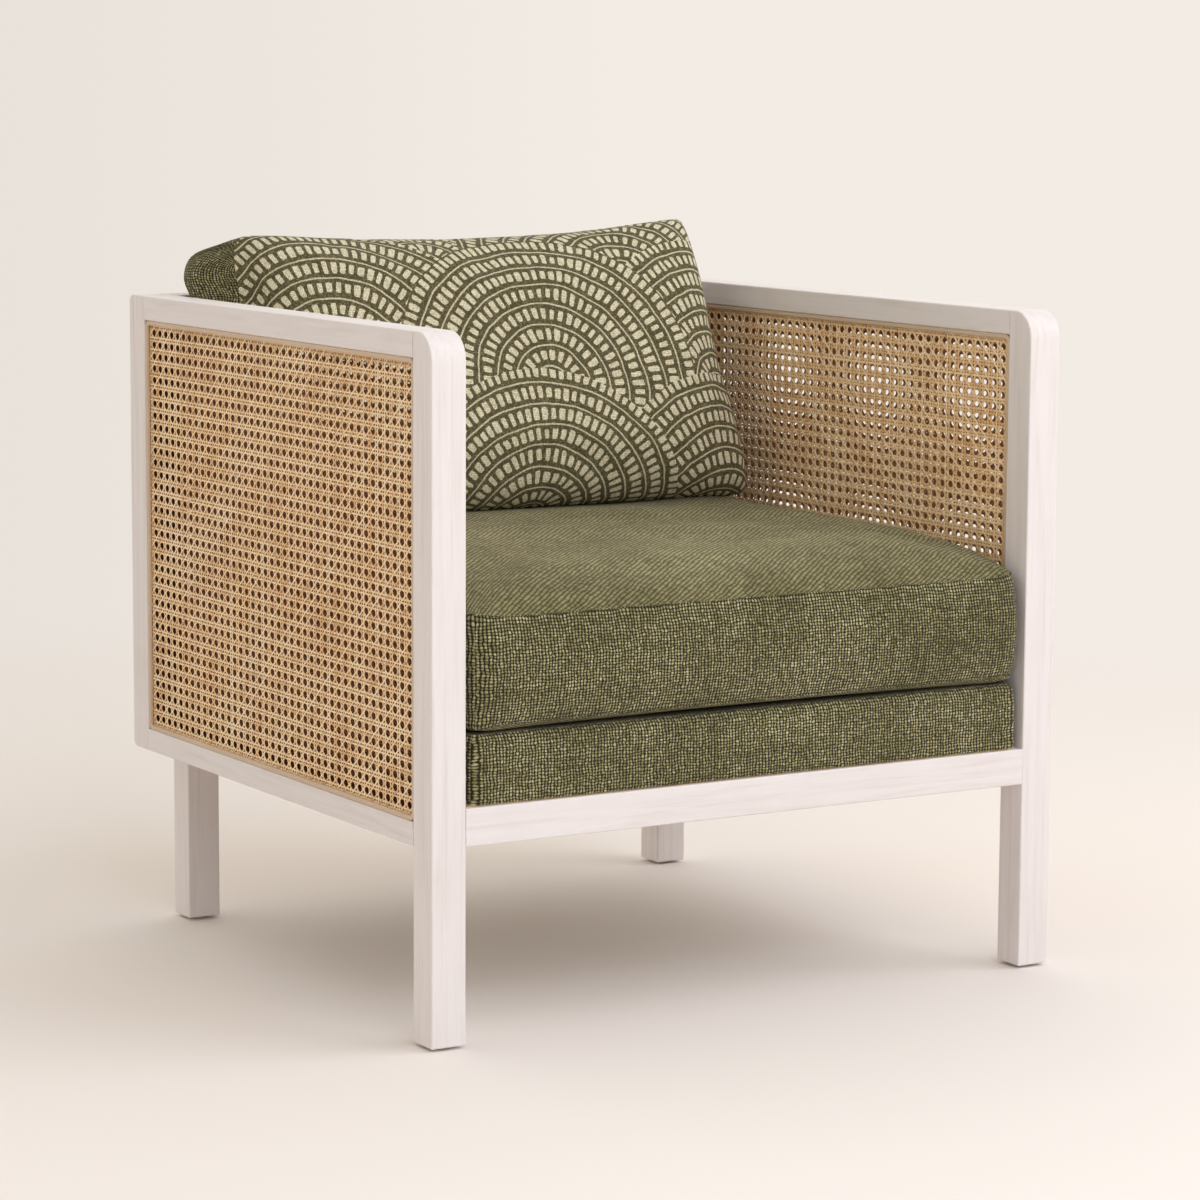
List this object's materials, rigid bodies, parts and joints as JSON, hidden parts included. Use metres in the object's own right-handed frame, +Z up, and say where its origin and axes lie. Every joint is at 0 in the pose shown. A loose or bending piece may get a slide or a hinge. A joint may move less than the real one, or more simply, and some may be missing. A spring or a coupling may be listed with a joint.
{
  "type": "cane lounge chair",
  "caption": "Low square lounge chair: whitewashed timber frame, cane panels in its sides and back, upholstered deck, loose box seat cushion and loose patterned back pillow.",
  "frame": {"origin": "on the floor, at the centre of the chair's width and depth", "axes": "+X across the chair, +Y from the front to the back, +Z up"},
  "size_m": [0.75, 0.69, 0.7648],
  "materials": {
    "whitewashed_wood": "whitewashed satin timber, tan wear along the arrises",
    "bare_wood": "bare sawn hardwood",
    "cane": "natural woven cane webbing",
    "reed": "half-round reed spline",
    "zinced_steel": "zinced steel",
    "glide_plastic": "pale nylon on a steel nail",
    "webbing": "elastic upholstery webbing",
    "foam": "upholstery foam and fibre filling",
    "olive_fabric": "heavy two-tone olive basket weave",
    "patterned_fabric": "olive cloth with cream dashes in fans",
    "lining_cloth": "thin lining cloth in a natural greyish beige",
    "zip_tape": "olive zip tape"
  },
  "bodies": {
    "frame": {"left_front_post": "whitewashed_wood", "right_front_post": "whitewashed_wood", "left_rear_post": "whitewashed_wood", "right_rear_post": "whitewashed_wood", "left_arm_rail": "whitewashed_wood", "right_arm_rail": "whitewashed_wood", "left_lower_rail": "whitewashed_wood", "right_lower_rail": "whitewashed_wood", "front_rail": "whitewashed_wood", "back_top_rail": "whitewashed_wood", "back_lower_rail": "whitewashed_wood", "left_rear_leg": "whitewashed_wood", "right_rear_leg": "whitewashed_wood", "frame_dowels": "bare_wood", "corner_blocks": "bare_wood", "left_seat_bearer": "bare_wood", "right_seat_bearer": "bare_wood", "bearer_screws": "zinced_steel", "deck_screws": "zinced_steel", "rear_leg_bolts": "zinced_steel", "leg_glides": "glide_plastic", "left_outer_cane": "cane", "left_inner_cane": "cane", "right_outer_cane": "cane", "right_inner_cane": "cane", "back_outer_cane": "cane", "back_inner_cane": "cane", "left_outer_spline": "reed", "left_inner_spline": "reed", "right_outer_spline": "reed", "right_inner_spline": "reed", "back_outer_spline": "reed", "back_inner_spline": "reed", "deck_front_member": "bare_wood", "deck_rear_member": "bare_wood", "deck_left_member": "bare_wood", "deck_right_member": "bare_wood", "deck_dowels": "bare_wood", "deck_long_straps": "webbing", "deck_cross_straps": "webbing", "deck_foam": "foam", "deck_cover": "olive_fabric", "dust_cover": "lining_cloth"},
    "seat_cushion": {"seat_cushion_top_panel": "olive_fabric", "seat_cushion_boxing": "olive_fabric", "seat_cushion_bottom_panel": "olive_fabric", "seat_cushion_foam": "foam", "seat_cushion_zip": "zip_tape"},
    "back_pillow": {"back_pillow_front_cover": "patterned_fabric", "back_pillow_back_cover": "olive_fabric", "back_pillow_filling": "foam", "back_pillow_zip": "zip_tape"}
  },
  "joints": [
    {"name": "seat_cushion_lift", "type": "slide", "parent": "frame", "child": "seat_cushion", "axis": [0, 0, 1], "range_m": [0, 0.42]},
    {"name": "back_pillow_lift", "type": "slide", "parent": "seat_cushion", "child": "back_pillow", "axis": [0, 0, 1], "range_m": [0, 0.3]}
  ]
}
